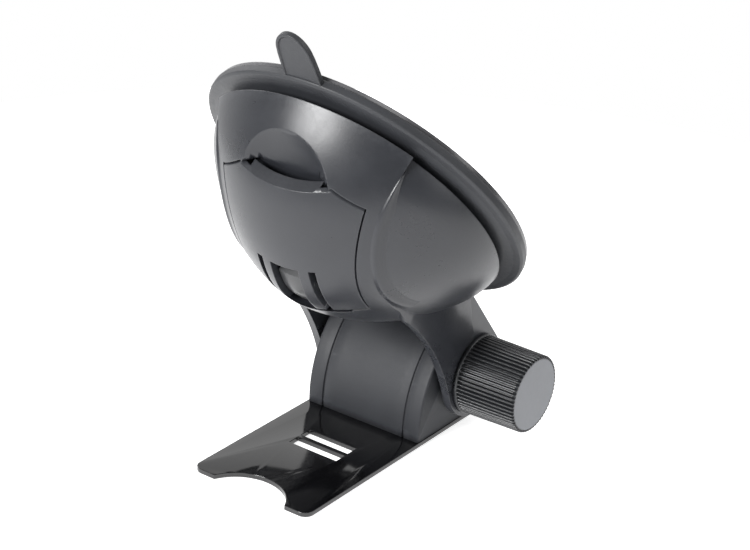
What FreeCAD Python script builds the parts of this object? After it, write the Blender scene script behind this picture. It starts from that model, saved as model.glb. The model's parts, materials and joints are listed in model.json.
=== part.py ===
import FreeCAD, Part
import math
import os
import Sketcher
from FreeCAD import Placement, Rotation, Vector

# Windscreen suction mount for a dash camera, in millimetres, +Z up.
# The origin is the middle of the footprint, on the underside of the camera plate.
# X runs along the tilt pivot and the plate's slotted tongue points to -Y.
# The head (dome, lever, cup) is drawn in a frame of its own, whose origin is the middle of
# the glass face, Z the way out of the glass and Y the way up the glass.

SIZES = {
    "plate_width": 35.0,
    "plate_length": 79.0,
    "plate_thickness": 1.2,
    "plate_corner": 2.5,
    "notch_radius": 11.75,
    "notch_depth": 7.0,
    "slot_length": 14.5,
    "slot_width": 3.5,
    "slot_pitch": 4.7,
    "slot_middle": 28.75,
    "screw_radius": 1.45,
    "screw_head_radius": 2.6,
    "screw_reach": 9.0,
    "screw_side": 11.0,
    "screw_front": 50.4,
    "screw_back": 72.5,
    "pivot_from_front": 63.7,
    "pivot_height": 15.0,
    "block_width": 34.6,
    "block_from_front": 45.0,
    "block_foot": 2.0,
    "block_front_radius": 29.5,
    "block_wall": 2.3,
    "block_edge": 1.5,
    "band_width": 4.7,
    "groove_width": 0.5,
    "groove_depth": 0.6,
    "bolt_radius": 2.5,
    "bolt_play": 0.2,
    "bolt_end": 34.0,
    "bolt_head_flats": 8.0,
    "bolt_head_height": 3.4,
    "bolt_boss_radius": 7.2,
    "bolt_boss_height": 4.0,
    "friction_radius": 9.0,
    "friction_play": 0.05,
    "arm_inner": 18.7,
    "arm_thickness": 2.2,
    "arm_end_radius": 11.5,
    "arm_front_y": -29.8,
    "arm_front_z": 87.0,
    "arm_merge_z": 26.3,
    "head_tilt": 38.8,
    "pivot_drop": 55.1,
    "pivot_rise": 17.6,
    "dome_height": 36.1,
    "tip_radius": 7.3,
    "tip_angle": 11.1,
    "crown_radius": 54.7,
    "crown_angle": 54.5,
    "side_radius": 22.0,
    "cheek_drop": 0.5,
    "dome_wall": 2.2,
    "lever_top": 27.8,
    "lever_top_half": 13.0,
    "lever_shoulder": 23.2,
    "lever_shoulder_half": 20.3,
    "lever_bottom": 4.5,
    "lever_bottom_half": 16.4,
    "lever_side_radius": 100.0,
    "lever_thickness": 2.3,
    "lever_lip": 1.0,
    "lever_lip_width": 1.2,
    "lever_gap": 0.45,
    "window_half": 4.1,
    "window_top": 10.0,
    "slit_inner": 6.7,
    "slit_outer": 8.5,
    "pin_y": -1.2,
    "pin_z": 30.4,
    "pin_radius": 1.5,
    "pin_half": 10.8,
    "cam_reach": 7.8,
    "cam_travel": 3.0,
    "cam_play": 0.1,
    "hub_half": 11.8,
    "runner_thickness": 0.8,
    "tray_floor": 17.0,
    "tray_wall": 1.8,
    "scoop_radius": 24.0,
    "scoop_depth": 5.6,
    "scoop_wall": 1.6,
    "stem_half_x": 3.6,
    "stem_low": 5.0,
    "stem_high": 6.0,
    "stem_play": 0.2,
    "stem_sink": 1.7,
    "core_radius": 14.0,
    "core_thickness": 1.8,
    "core_bottom": 3.6,
    "cup_radius": 43.0,
    "cup_side_top": 3.4,
    "cup_back": 5.6,
    "cup_shoulder_radius": 34.0,
    "cup_hub_radius": 16.0,
    "cup_hub_top": 8.2,
    "gel_thickness": 0.9,
    "gel_radius": 42.55,
    "tab_width": 10.2,
    "tab_length": 12.0,
    "tab_thickness": 1.5,
    "tab_lean": 15.6,
    "frame_top": 13.0,
    "frame_thickness": 2.0,
    "frame_radius": 28.4,
    "press_wall": 2.0,
    "press_height": 6.0,
    "frame_screw_reach": 8.0,
    "spring_seat": 6.0,
    "spring_recess": 10.0,
    "spring_radius": 8.2,
    "spring_wire": 0.9,
    "spring_turns": 3.0,
    "washer_radius": 6.5,
    "washer_thickness": 1.0,
    "disc_spring_height": 0.9,
    "knob_start": 21.3,
    "knob_end": 38.6,
    "knob_lip_radius": 10.4,
    "knob_lip": 0.9,
    "knob_base_radius": 10.0,
    "knob_end_radius": 9.65,
    "knob_flute_depth": 0.45,
    "knob_flute_width": 0.75,
    "knob_edge": 0.35,
    "insert_radius": 4.0,
    "insert_length": 9.0,
    "insert_play": 0.06,
    "cap_radius": 8.9,
    "cap_thickness": 1.2,
}
FLUTES = 56
FRAME_SCREWS = ((20.5, 9.5), (-20.5, 9.5), (0.0, -21.0))

doc = FreeCAD.newDocument("suction_mount")
sheet = doc.addObject("Spreadsheet::Sheet", "Sizes")
for row, (alias, number) in enumerate(SIZES.items(), start=1):
    sheet.set(f"A{row}", alias)
    sheet.set(f"B{row}", str(number))
    sheet.setAlias(f"B{row}", alias)
doc.recompute()


class Size:
    """A length with its value and the sheet formula that gives it."""

    def __init__(self, value, formula):
        self.value = value
        self.formula = formula

    def join(self, other, sign, value):
        return Size(value, f"({self.formula} {sign} {as_size(other).formula})")

    def __add__(self, other):
        return self.join(other, "+", self.value + as_size(other).value)

    def __sub__(self, other):
        return self.join(other, "-", self.value - as_size(other).value)

    def __mul__(self, other):
        return self.join(other, "*", self.value * as_size(other).value)

    def __truediv__(self, other):
        return self.join(other, "/", self.value / as_size(other).value)

    def __radd__(self, other):
        return as_size(other) + self

    def __rsub__(self, other):
        return as_size(other) - self

    def __rmul__(self, other):
        return as_size(other) * self

    def __neg__(self):
        return Size(-self.value, f"(0 - {self.formula})")


def as_size(number):
    if isinstance(number, Size):
        return number
    text = repr(float(number))
    return Size(float(number), f"({text})" if number < 0 else text)


def root(size):
    return Size(math.sqrt(size.value), f"sqrt({size.formula})")


def sine(angle):
    return Size(math.sin(math.radians(angle.value)), f"sin({angle.formula})")


def cosine(angle):
    return Size(math.cos(math.radians(angle.value)), f"cos({angle.formula})")


def size(alias):
    return Size(getattr(sheet, alias), f"Sizes.{alias}")


def bind(item, name, length):
    item.setExpression(name, as_size(length).formula)


# ---------------------------------------------------------------- sketches

PLANES = {
    "XY_Plane": Rotation(),
    "XZ_Plane": Rotation(Vector(1, 0, 0), 90),
    "YZ_Plane": Rotation(Vector(1, 1, 1), 120),
}


def body_sketch(body, plane, name, lift=0.0):
    """A sketch on one of the body's own origin planes, lifted along its normal."""
    sketch = body.newObject("Sketcher::SketchObject", name)
    face = next(item for item in body.Origin.OriginFeatures if item.Role == plane)
    sketch.AttachmentSupport = [(face, "")]
    sketch.MapMode = "FlatFace"
    bind(sketch, "AttachmentOffset.Base.z", lift)
    return sketch


def loose_sketch(name, plane):
    """A sketch of a Part feature, on a plane through the frame's origin."""
    sketch = doc.addObject("Sketcher::SketchObject", name)
    sketch.Placement = Placement(Vector(), PLANES[plane])
    return sketch


def pin_point(sketch, geometry, end, x, y):
    """Binds one end or centre of a curve to sheet formulas."""
    for kind, length in (("DistanceX", x), ("DistanceY", y)):
        index = sketch.addConstraint(
            Sketcher.Constraint(kind, -1, 1, geometry, end, as_size(length).value))
        bind(sketch, f"Constraints[{index}]", length)


def ring(sketch, x, y, radius):
    """A full circle."""
    centre = Vector(as_size(x).value, as_size(y).value, 0)
    circle = Part.Circle(centre, Vector(0, 0, 1), as_size(radius).value)
    index = sketch.addGeometry(circle, False)
    pin_point(sketch, index, 3, x, y)
    constraint = sketch.addConstraint(Sketcher.Constraint("Radius", index, as_size(radius).value))
    bind(sketch, f"Constraints[{constraint}]", radius)


def minor_arc(start, end, radius, turn):
    """The arc shorter than half a turn from start to end, +1 anticlockwise or -1 clockwise."""
    chord = end - start
    height = math.sqrt(max(radius ** 2 - chord.Length ** 2 / 4, 0.0))
    side = Vector(-chord.y, chord.x, 0).normalize() * height * turn
    centre = (start + end) / 2 + side
    outward = ((start + end) / 2 - centre)
    if outward.Length < 1e-9:
        outward = Vector(chord.y, -chord.x, 0) * turn
    middle = centre + outward.normalize() * radius
    return Part.Arc(start, middle, end)


def loop(sketch, *steps):
    """A closed outline. A step is a corner (x, y) reached by a line, or (x, y, radius, turn)
    reached by an arc. The first step is the start, and the last one comes back to it."""
    corners = [(as_size(step[0]), as_size(step[1])) for step in steps]
    points = [Vector(x.value, y.value, 0) for x, y in corners]
    edges = []
    for number in range(len(steps)):
        after = (number + 1) % len(steps)
        step = steps[after]
        if len(step) == 2:
            curve = Part.LineSegment(points[number], points[after])
        else:
            curve = minor_arc(points[number], points[after], as_size(step[2]).value, step[3])
        index = sketch.addGeometry(curve, False)
        forward = True
        if len(step) == 4 and step[3] < 0:
            forward = False
        edges.append((index, forward))
        if len(step) == 4:
            constraint = sketch.addConstraint(
                Sketcher.Constraint("Radius", index, as_size(step[2]).value))
            bind(sketch, f"Constraints[{constraint}]", step[2])
    for number, (index, forward) in enumerate(edges):
        before, was_forward = edges[number - 1]
        start = 1 if forward else 2
        end = 2 if was_forward else 1
        sketch.addConstraint(Sketcher.Constraint("Coincident", before, end, index, start))
        pin_point(sketch, index, start, *corners[number])


def rectangle(sketch, left, bottom, right, top):
    loop(sketch, (left, bottom), (right, bottom), (right, top), (left, top))


# ---------------------------------------------------------------- features

def extrude(name, sketch, direction, length, back=0.0):
    item = doc.addObject("Part::Extrusion", name)
    item.Base = sketch
    item.DirMode = "Custom"
    item.Dir = direction
    item.Solid = True
    bind(item, "LengthFwd", length)
    bind(item, "LengthRev", back)
    return item


def revolve(name, sketch, axis=Vector(0, 0, 1)):
    item = doc.addObject("Part::Revolution", name)
    item.Source = sketch
    item.Axis = axis
    item.Angle = 360
    item.Solid = True
    return item


def cylinder(name, radius, length, base, direction=Vector(0, 0, 1)):
    item = doc.addObject("Part::Cylinder", name)
    bind(item, "Radius", radius)
    bind(item, "Height", length)
    place(item, base, Rotation(Vector(0, 0, 1), direction))
    return item


def box(name, low, high):
    item = doc.addObject("Part::Box", name)
    for side, start, end in zip(("Length", "Width", "Height"), low, high):
        bind(item, side, as_size(end) - start)
    place(item, low)
    return item


def place(item, base, rotation=None):
    item.Placement = Placement(Vector(*[as_size(value).value for value in base]),
                               rotation or Rotation())
    for axis, value in zip("xyz", base):
        bind(item, f"Placement.Base.{axis}", value)


def fuse(name, *items):
    item = doc.addObject("Part::MultiFuse", name)
    item.Shapes = list(items)
    return item


def common(name, *items):
    item = doc.addObject("Part::MultiCommon", name)
    item.Shapes = list(items)
    return item


def cut(name, base, tool):
    item = doc.addObject("Part::Cut", name)
    item.Base = base
    item.Tool = tool
    return item


def pad(body, sketch, length, midplane=False, reverse=False):
    feature = body.newObject("PartDesign::Pad", sketch.Name + "_pad")
    feature.Profile = sketch
    bind(feature, "Length", length)
    feature.Midplane = midplane
    feature.Reversed = reverse
    return feature


def pocket(body, sketch, length, midplane=False, reverse=False):
    feature = body.newObject("PartDesign::Pocket", sketch.Name + "_pocket")
    feature.Profile = sketch
    bind(feature, "Length", length)
    feature.Midplane = midplane
    feature.Reversed = reverse
    return feature


def new_body(name):
    return doc.addObject("PartDesign::Body", name)


NODES = []


def keep(item, label):
    item.Label = label
    NODES.append(item)
    return item


# ---------------------------------------------------------------- shared places

front = -size("plate_length") / 2
pivot_y = front + size("pivot_from_front")
pivot_z = size("pivot_height")
tilt = size("head_tilt")
arm_outer = size("arm_inner") + size("arm_thickness")
rim = size("pivot_rise") - size("arm_end_radius")
head_y = (pivot_y + size("pivot_rise") * cosine(tilt) - (-size("pivot_drop")) * (-sine(tilt)))
head_z = (pivot_z + size("pivot_rise") * sine(tilt) - (-size("pivot_drop")) * cosine(tilt))


def in_head(item):
    """Places a piece drawn in the head's frame."""
    item.Placement = Placement(Vector(0, head_y.value, head_z.value),
                               Rotation(Vector(1, 0, 0), 90 + tilt.value))
    bind(item, "Placement.Base.y", head_y)
    bind(item, "Placement.Base.z", head_z)
    bind(item, "Placement.Rotation.Angle", tilt + 90)
    return item


# ---------------------------------------------------------------- camera plate

def mount_plate():
    body = new_body("PlateBody")
    half = size("plate_width") / 2
    back = size("plate_length") / 2
    corner = size("plate_corner")
    mouth = root(size("notch_radius") * size("notch_radius")
                 - (size("notch_radius") - size("notch_depth"))
                 * (size("notch_radius") - size("notch_depth")))
    sketch = body_sketch(body, "XY_Plane", "plate_outline")
    loop(sketch,
         (-half + corner, front, corner, 1),
         (-mouth, front),
         (mouth, front, size("notch_radius"), -1),
         (half - corner, front),
         (half, front + corner, corner, 1),
         (half, back - corner),
         (half - corner, back, corner, 1),
         (-half + corner, back),
         (-half, back - corner, corner, 1),
         (-half, front + corner))
    slot_middle = front + size("slot_middle")
    for side in (-1, 1):
        middle = slot_middle + size("slot_pitch") * (side / 2)
        rectangle(sketch, -size("slot_length") / 2, middle - size("slot_width") / 2,
                  size("slot_length") / 2, middle + size("slot_width") / 2)
    pad(body, sketch, size("plate_thickness"))
    doc.recompute()
    return keep(body, "mount_plate_blank")


def screw_places():
    for x in (-size("screw_side"), size("screw_side")):
        for from_front in (size("screw_front"), size("screw_back")):
            yield x, front + from_front


def csk_screw(name, x, y):
    """A countersunk screw whose head is flush with the plate's underside."""
    head = doc.addObject("Part::Cone", name + "_head")
    bind(head, "Radius1", size("screw_head_radius"))
    bind(head, "Radius2", size("screw_radius"))
    bind(head, "Height", size("plate_thickness"))
    place(head, (x, y, 0.0))
    shank = cylinder(name + "_shank", size("screw_radius"), size("screw_reach"), (x, y, 0.0))
    return fuse(name, head, shank)


def plate_and_screws():
    blank = mount_plate()
    NODES.remove(blank)
    screws = [csk_screw(f"plate_screw_{number}", x, y)
              for number, (x, y) in enumerate(screw_places(), start=1)]
    holes = fuse("plate_screw_holes", *[csk_screw(f"plate_hole_{number}", x, y)
                                        for number, (x, y) in enumerate(screw_places(), start=1)])
    keep(cut("PlateCut", blank, holes), "mount_plate")
    group = doc.addObject("Part::Compound", "PlateScrews")
    group.Links = screws
    keep(group, "plate_screws")


# ---------------------------------------------------------------- pivot block

def block_loop(sketch, inset, foot):
    """The block's side outline, drawn inset by some depth, down to the height foot."""
    front_y = front + size("block_from_front")
    front_centre_y = front_y + size("block_front_radius")
    front_centre_z = size("plate_thickness") + size("block_foot")
    step_y = pivot_y - front_centre_y
    step_z = pivot_z - front_centre_z
    apart = root(step_y * step_y + step_z * step_z)
    front_radius = size("block_front_radius") - inset
    top_radius = size("block_front_radius") - apart - inset
    join_y = front_centre_y + step_y / apart * front_radius
    join_z = front_centre_z + step_z / apart * front_radius
    loop(sketch,
         (front_y + inset, foot),
         (pivot_y + top_radius, foot),
         (pivot_y + top_radius, pivot_z),
         (pivot_y, pivot_z + top_radius, top_radius, 1),
         (join_y, join_z, top_radius, 1),
         (front_y + inset, front_centre_z, front_radius, 1))


def end_edges(shape, half, foot):
    """The names of the edges round both ends, leaving out those on the plate."""
    names = []
    for number, edge in enumerate(shape.Edges, start=1):
        bounds = edge.BoundBox
        at_end = bounds.XLength < 1e-6 and abs(abs(bounds.XMin) - half) < 1e-6
        if at_end and bounds.ZMax > foot + 1e-3:
            names.append(f"Edge{number}")
    return names


def pivot_block():
    body = new_body("BlockBody")
    plate_top = size("plate_thickness")
    width = size("block_width")
    outline = body_sketch(body, "YZ_Plane", "block_outline")
    block_loop(outline, 0.0, plate_top)
    blank = pad(body, outline, width, midplane=True)
    doc.recompute()
    rounded = body.newObject("PartDesign::Fillet", "block_edges")
    rounded.Base = (blank, end_edges(blank.Shape, width.value / 2, plate_top.value))
    bind(rounded, "Radius", size("block_edge"))
    body.Tip = rounded
    doc.recompute()
    solid = body.Shape.Volume
    for side in (-1, 1):
        groove_start = side * (width / 2 - size("band_width")) - size("groove_width") / 2
        groove = body_sketch(body, "YZ_Plane", f"block_groove_{side + 2}", groove_start)
        block_loop(groove, -size("groove_depth"), plate_top - 1)
        block_loop(groove, size("groove_depth"), plate_top - 2)
        pocket(body, groove, size("groove_width"), reverse=True)
        doc.recompute()
        assert body.Shape.Volume < solid, "a groove missed the block"
        solid = body.Shape.Volume
    hollow = body_sketch(body, "YZ_Plane", "block_hollow")
    block_loop(hollow, size("block_wall"), plate_top - 1)
    pocket(body, hollow, width - size("block_wall") * 2, midplane=True)
    doc.recompute()
    assert body.Shape.Volume < solid * 0.7, "the block is not hollow"
    tube = body_sketch(body, "YZ_Plane", "block_tube")
    ring(tube, pivot_y, pivot_z, size("bolt_radius") + size("bolt_play") + 2.4)
    pad(body, tube, width, midplane=True)
    posts = body_sketch(body, "XY_Plane", "block_posts", plate_top)
    for x, y in screw_places():
        ring(posts, x, y, size("screw_radius") + 1.6)
    pad(body, posts, size("screw_reach"))
    doc.recompute()
    solid = body.Shape.Volume
    screw_holes = body_sketch(body, "XY_Plane", "block_screw_holes", plate_top)
    for x, y in screw_places():
        ring(screw_holes, x, y, size("screw_radius"))
    pocket(body, screw_holes, size("screw_reach") - plate_top, reverse=True)
    doc.recompute()
    assert body.Shape.Volume < solid, "the screw holes missed the block"
    solid = body.Shape.Volume
    bore = body_sketch(body, "YZ_Plane", "block_bore")
    ring(bore, pivot_y, pivot_z, size("bolt_radius") + size("bolt_play"))
    pocket(body, bore, width + 2, midplane=True)
    doc.recompute()
    assert body.Shape.Volume < solid, "the bore missed the block"
    keep(body, "pivot_block")


def flat_ring(label, outer, inner, start, length):
    """A washer round the pivot bolt."""
    body = new_body(label + "_body")
    sketch = body_sketch(body, "YZ_Plane", label + "_ring", start)
    ring(sketch, pivot_y, pivot_z, outer)
    ring(sketch, pivot_y, pivot_z, inner)
    pad(body, sketch, length)
    return body


def friction_washers():
    inner = size("bolt_radius") + size("bolt_play")
    thickness = size("arm_inner") - size("block_width") / 2 - size("friction_play")
    right = flat_ring("friction_right", size("friction_radius"), inner,
                      size("block_width") / 2, thickness)
    left = flat_ring("friction_left", size("friction_radius"), inner,
                     -size("arm_inner") + size("friction_play"), thickness)
    group = doc.addObject("Part::Compound", "FrictionWashers")
    group.Links = [left, right]
    keep(group, "friction_washers")


# ---------------------------------------------------------------- pivot bolt and knob

def hexagon(sketch, y, z, flats):
    """A hexagon with flats above and below."""
    reach = flats / math.sqrt(3)
    loop(sketch, *[(y + reach * math.cos(math.radians(turn)),
                    z + reach * math.sin(math.radians(turn))) for turn in range(0, 360, 60)])


def pivot_bolt():
    """The bolt turns with the head: its hexagon sits in the left arm's boss."""
    body = new_body("BoltBody")
    centre = (-size("pivot_drop"), size("pivot_rise"))
    head_start = -arm_outer - size("bolt_head_height") - 0.3
    head = body_sketch(body, "YZ_Plane", "bolt_head", head_start)
    hexagon(head, *centre, size("bolt_head_flats"))
    pad(body, head, size("bolt_head_height"))
    shank = body_sketch(body, "YZ_Plane", "bolt_shank", head_start + size("bolt_head_height"))
    ring(shank, *centre, size("bolt_radius"))
    pad(body, shank, size("bolt_end") - head_start - size("bolt_head_height"))
    keep(in_head(body), "pivot_bolt")


def disc_spring():
    """A conical spring washer that keeps the clamp tight."""
    sketch = loose_sketch("disc_spring_section", "XY_Plane")
    start = arm_outer + 0.05 + size("washer_thickness")
    inner = size("bolt_radius") + size("bolt_play") + 0.1
    outer = size("washer_radius") - 0.3
    flat = size("disc_spring_height") / 2
    loop(sketch,
         (start, outer - 0.6),
         (start + flat, inner),
         (start + flat * 2, inner),
         (start + flat, outer))
    washer = revolve("DiscSpring", sketch, Vector(1, 0, 0))
    place(washer, (0.0, pivot_y, pivot_z))
    keep(washer, "disc_spring")


def clamp_washer():
    washer = flat_ring("clamp_washer", size("washer_radius"),
                       size("bolt_radius") + size("bolt_play"), arm_outer + 0.05,
                       size("washer_thickness"))
    keep(washer, "clamp_washer")


def knob_body():
    """The fluted knob, turned about X with a counterbore for the washers."""
    body = new_body("KnobBody")
    start = size("knob_start")
    end = size("knob_end")
    washer_depth = arm_outer + 0.1 + size("washer_thickness") + size("disc_spring_height")
    insert_end = washer_depth + size("insert_length")
    section = body_sketch(body, "XY_Plane", "knob_section")
    loop(section,
         (start, size("washer_radius") + 0.3),
         (washer_depth, size("washer_radius") + 0.3),
         (washer_depth, size("insert_radius")),
         (insert_end, size("insert_radius")),
         (insert_end, size("bolt_radius") + 0.4),
         (end - size("cap_thickness") - 1.2, size("bolt_radius") + 0.4),
         (end - size("cap_thickness") - 1.2, 0.0),
         (end - size("cap_thickness"), 0.0),
         (end - size("cap_thickness"), size("cap_radius")),
         (end, size("cap_radius")),
         (end, size("knob_end_radius") - size("knob_edge")),
         (end - size("knob_edge"), size("knob_end_radius")),
         (start + size("knob_lip"), size("knob_base_radius")),
         (start + size("knob_lip"), size("knob_lip_radius")),
         (start, size("knob_lip_radius")))
    turned = body.newObject("PartDesign::Revolution", "knob_turned")
    turned.Profile = section
    turned.ReferenceAxis = (section, ["H_Axis"])
    turned.Angle = 360
    doc.recompute()
    solid = body.Shape.Volume
    flute = body_sketch(body, "YZ_Plane", "knob_flute", start + size("knob_lip"))
    outside = size("knob_base_radius") + 0.5
    half = size("knob_flute_width") / 2
    root_radius = size("knob_end_radius") - size("knob_flute_depth")
    loop(flute,
         (-half, outside),
         (-half / 3, root_radius),
         (half / 3, root_radius),
         (half, outside))
    first = pocket(body, flute, end - start, reverse=True)
    doc.recompute()
    assert body.Shape.Volume < solid, "the flute missed the knob"
    around = body.newObject("PartDesign::PolarPattern", "knob_flutes")
    around.Originals = [first]
    around.Axis = (section, ["H_Axis"])
    around.Angle = 360
    around.Occurrences = FLUTES
    body.Tip = around
    place(body, (0.0, pivot_y, pivot_z))
    keep(body, "knob_body")


def knob_insert():
    start = arm_outer + 0.1 + size("washer_thickness") + size("disc_spring_height")
    insert = flat_ring("knob_insert", size("insert_radius"),
                       size("bolt_radius") + size("insert_play"), start, size("insert_length"))
    keep(insert, "knob_insert")


def knob_cap():
    """The pressed-in end disc, with a softened edge."""
    sketch = loose_sketch("knob_cap_section", "XY_Plane")
    end = size("knob_end")
    loop(sketch,
         (end - size("cap_thickness"), 0.0),
         (end, 0.0),
         (end, size("cap_radius") - 0.3),
         (end - 0.3, size("cap_radius")),
         (end - size("cap_thickness"), size("cap_radius")))
    cap = revolve("KnobCap", sketch, Vector(1, 0, 0))
    place(cap, (0.0, pivot_y, pivot_z))
    keep(cap, "knob_cap")


# ---------------------------------------------------------------- dome surfaces

def dome_loop(sketch, inset, low, cheek=False):
    """Half the dome's section in radius and height, inset from the outer surface, down to the
    height low. The cheeks turn in along a smaller side arc."""
    tip = size("tip_radius") - inset
    crown = size("crown_radius") - inset
    side = size("side_radius") - inset
    tip_z = size("dome_height") - size("tip_radius")
    reach = size("crown_radius") - size("tip_radius")
    crown_r = -(reach * sine(size("tip_angle")))
    crown_z = tip_z - reach * cosine(size("tip_angle"))
    side_reach = size("crown_radius") - size("side_radius")
    side_r = crown_r + side_reach * sine(size("crown_angle"))
    side_z = crown_z + side_reach * cosine(size("crown_angle"))
    crown_join = (crown_r + crown * sine(size("crown_angle")),
                  crown_z + crown * cosine(size("crown_angle")))
    if cheek:
        last_r = side_r + root(side * side - (side_z - low) * (side_z - low))
        steps = [(last_r, low), (crown_join[0], crown_join[1], side, 1)]
    else:
        last_r = crown_r + root(crown * crown - (crown_z - low) * (crown_z - low))
        steps = [(last_r, low)]
    steps.append((tip * sine(size("tip_angle")), tip_z + tip * cosine(size("tip_angle")),
                  crown, 1))
    steps.append((0.0, tip_z + tip, tip, 1))
    loop(sketch, (0.0, low), *steps)


def dome(name, inset, low, cheek=False):
    sketch = loose_sketch(name + "_section", "XZ_Plane")
    dome_loop(sketch, inset, low, cheek)
    return revolve(name, sketch)


def lever_plan(name, grow, low, high, bottom=None):
    """A prism over the lever's outline seen square to the glass, grown by some margin."""
    sketch = loose_sketch(name + "_plan", "XY_Plane")
    top = size("lever_top") + grow
    shoulder = size("lever_shoulder") + grow * 0.4
    foot = -(size("lever_bottom") + grow) if bottom is None else -bottom
    top_half = size("lever_top_half") + grow * 0.4
    shoulder_half = size("lever_shoulder_half") + grow
    foot_half = size("lever_bottom_half") + grow
    bow = size("lever_side_radius") - grow
    loop(sketch,
         (-foot_half, foot, bow, -1),
         (foot_half, foot),
         (shoulder_half, shoulder, bow, -1),
         (top_half, top),
         (-top_half, top),
         (-shoulder_half, shoulder))
    prism = extrude(name, sketch, Vector(0, 0, 1), as_size(high) - low)
    place(prism, (0.0, 0.0, low))
    return prism


# ---------------------------------------------------------------- housing

def front_panel():
    """The part of the dome between the arms, wider towards the top, where it stands proud."""
    sketch = loose_sketch("front_panel_plan", "XY_Plane")
    low = -60.0
    loop(sketch,
         (-arm_outer, low),
         (arm_outer, low),
         (arm_outer, 8.0),
         (27.2, 27.9, 34.0, -1),
         (40.0, 44.0),
         (-40.0, 44.0),
         (-27.2, 27.9),
         (-arm_outer, 8.0, 34.0, -1))
    prism = extrude("front_panel_prism", sketch, Vector(0, 0, 1), 60.0)
    return common("front_panel", prism, dome("front_dome", 0.0, rim))


def arm(name, start):
    """A flat web from the dome's side to the pivot."""
    sketch = loose_sketch(name + "_side", "YZ_Plane")
    pivot = (-size("pivot_drop"), size("pivot_rise"))
    step_y = size("arm_front_y") - pivot[0]
    step_z = size("arm_front_z") - pivot[1]
    apart = root(step_y * step_y + step_z * step_z)
    end = size("arm_end_radius")
    bow = apart - end
    touch = (pivot[0] + step_y / apart * end, pivot[1] + step_z / apart * end)
    merge_z = size("arm_merge_z")
    merge_y = size("arm_front_y") + root(bow * bow - (size("arm_front_z") - merge_z)
                                         * (size("arm_front_z") - merge_z))
    loop(sketch,
         (pivot[0], rim, end, 1),
         (-6.0, rim),
         (-6.0, merge_z),
         (merge_y, merge_z),
         (touch[0], touch[1], bow, -1),
         (pivot[0] - end, pivot[1], end, 1))
    web = extrude(name, sketch, Vector(1, 0, 0), size("arm_thickness"))
    place(web, (start, 0.0, 0.0))
    return web


def housing():
    pivot = (-size("pivot_drop"), size("pivot_rise"))
    cheeks = dome("cheek_dome", size("cheek_drop"), rim, cheek=True)
    boss_start = -arm_outer - size("bolt_boss_height")
    boss = cylinder("bolt_boss", size("bolt_boss_radius"), size("bolt_boss_height"),
                    (boss_start, *pivot), Vector(1, 0, 0))
    outer = fuse("housing_outer", cheeks, front_panel(), arm("arm_right", size("arm_inner")),
                 arm("arm_left", -arm_outer), boss)
    hollow = dome("housing_hollow", size("cheek_drop") + size("dome_wall"), rim - 1, cheek=True)
    shell = cut("housing_shell", outer, hollow)

    floor = size("tray_floor")
    tray_low = floor - 2
    margin = size("lever_gap") + size("tray_wall")
    tray = common("tray", lever_plan("tray_prism", margin, tray_low, 40.0, bottom=as_size(9.6)),
                  dome("tray_dome", 0.2, tray_low - 2))
    posts = [cylinder(f"frame_post_{number}", 3.2, 22.0, (x, y, size("frame_top")))
             for number, (x, y) in enumerate(FRAME_SCREWS, start=1)]
    bosses = common("frame_bosses", fuse("frame_posts", *posts),
                    dome("post_dome", 0.7, 10.5, cheek=True))
    scoop_centre = scoop_place()
    backing = doc.addObject("Part::Sphere", "scoop_backing")
    bind(backing, "Radius", size("scoop_radius") + size("scoop_wall"))
    place(backing, (0.0, *scoop_centre))
    dish = common("scoop_dish", backing, dome("dish_dome", 0.2, 10.5))
    solid = fuse("housing_solid", shell, tray, bosses, dish)

    scoop = doc.addObject("Part::Sphere", "scoop")
    bind(scoop, "Radius", size("scoop_radius"))
    place(scoop, (0.0, *scoop_centre))
    pocket_prism = lever_plan("pocket_prism", size("lever_gap"), floor, 44.0,
                              bottom=size("lever_bottom") + 1.0)
    stem_hole = box("stem_hole",
                    (-size("stem_half_x") - size("stem_play"),
                     -size("stem_low") - size("stem_play"), tray_low - 3),
                    (size("stem_half_x") + size("stem_play"),
                     size("stem_high") + size("stem_play"), 40.0))
    hub_room = hub_clearance()
    runner_top = size("pin_z") - size("cam_reach") - size("cam_play")
    seat = box("runner_seat", (-13.0, -9.0, floor - 1),
               (13.0, 8.0, runner_top - size("runner_thickness")))
    opened = cut("housing_opened", solid, fuse("housing_rooms", pocket_prism, scoop, hub_room))
    seated = fuse("housing_seated", opened, common("seat", seat, dome("seat_dome", 2.0, 10.0)))
    bolt_hole = cylinder("bolt_hole", size("bolt_radius") + size("bolt_play"), 60.0,
                         (-30.0, *pivot), Vector(1, 0, 0))
    head_sketch = loose_sketch("bolt_head_room_outline", "YZ_Plane")
    hexagon(head_sketch, pivot[0], pivot[1], size("bolt_head_flats") + 0.3)
    head_room = extrude("bolt_head_room", head_sketch, Vector(1, 0, 0),
                        size("bolt_boss_height") + 0.7)
    place(head_room, (boss_start - 1, 0.0, 0.0))
    pilots = [cylinder(f"frame_pilot_{number}", 1.25, size("frame_screw_reach"),
                       (x, y, tray_low - 2.2)) for number, (x, y) in enumerate(FRAME_SCREWS, start=1)]
    holes = fuse("housing_holes", stem_hole, bolt_hole, head_room, *pilots)
    keep(in_head(cut("Housing", seated, holes)), "housing")


def scoop_place():
    """The centre of the sphere that cuts the finger scoop."""
    reach = size("crown_radius") - size("tip_radius")
    crown_r = -(reach * sine(size("tip_angle")))
    crown_z = size("dome_height") - size("tip_radius") - reach * cosine(size("tip_angle"))
    scoop_y = size("lever_top")
    drop = root(size("crown_radius") * size("crown_radius")
                - (scoop_y - crown_r) * (scoop_y - crown_r))
    scoop_z = crown_z + drop
    out = (size("scoop_radius") - size("scoop_depth")) / size("crown_radius")
    return (scoop_y + (scoop_y - crown_r) * out, scoop_z + drop * out)


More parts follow.
